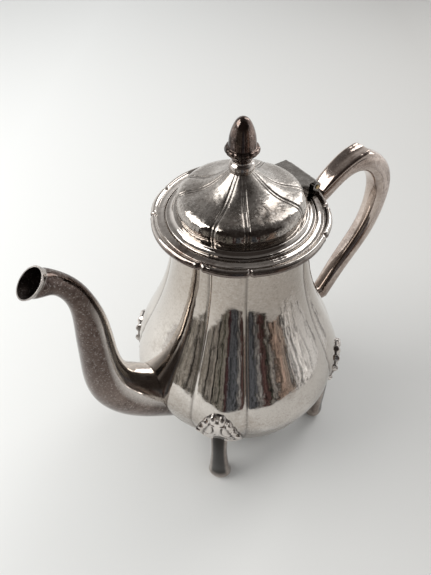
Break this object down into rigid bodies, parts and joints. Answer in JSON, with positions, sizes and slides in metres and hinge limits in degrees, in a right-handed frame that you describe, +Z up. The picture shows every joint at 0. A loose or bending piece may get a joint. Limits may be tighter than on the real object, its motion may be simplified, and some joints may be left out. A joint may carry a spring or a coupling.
{
  "type": "coffee pot",
  "caption": "Panelled pear-shaped silver-plated coffee pot with swan-neck spout, loop handle with thumb leaf, knee feet and a hinged domed lid with acorn finial.",
  "frame": {"origin": "on the pot's upright axis at table level, between the four feet", "axes": "+Z up, -X towards the spout, +X towards the handle, +Y to the pot's side"},
  "size_m": [0.2242, 0.1306, 0.23],
  "materials": {
    "silver_bright": "polished silver plate with hazy rubbed patches",
    "silver_worn": "polished silver plate with brown tarnish and fine specks",
    "silver_ornament": "cast silver plate, dark in the hollows",
    "brass_fixing": "dull turned brass"
  },
  "bodies": {
    "pot": {"body_panel_1": "silver_bright", "body_panel_2": "silver_bright", "body_panel_3": "silver_bright", "body_panel_4": "silver_bright", "body_panel_5": "silver_bright", "body_panel_6": "silver_bright", "body_panel_7": "silver_bright", "body_panel_8": "silver_bright", "base_plate": "silver_bright", "rim_collar": "silver_bright", "spout": "silver_worn", "spout_strainer": "silver_bright", "handle": "silver_worn", "handle_stub": "silver_worn", "thumb_leaf": "silver_worn", "leg_1": "silver_ornament", "leg_2": "silver_ornament", "leg_3": "silver_ornament", "leg_4": "silver_ornament", "knee_shell_1": "silver_ornament", "knee_shell_2": "silver_ornament", "knee_shell_3": "silver_ornament", "knee_shell_4": "silver_ornament", "hinge_bracket": "silver_worn", "hinge_pin": "brass_fixing"},
    "lid": {"lid_dome": "silver_bright", "lid_bezel": "silver_bright", "hinge_leaf": "silver_worn", "finial_collar": "silver_worn", "finial_acorn": "silver_worn", "finial_stud": "brass_fixing", "finial_washer": "brass_fixing", "finial_nut": "brass_fixing"}
  },
  "joints": [
    {"name": "lid_hinge", "type": "hinge", "parent": "pot", "child": "lid", "pos_m": [0.0396, 0, 0.1852], "axis": [0, 1, 0], "range_deg": [0, 105]}
  ]
}
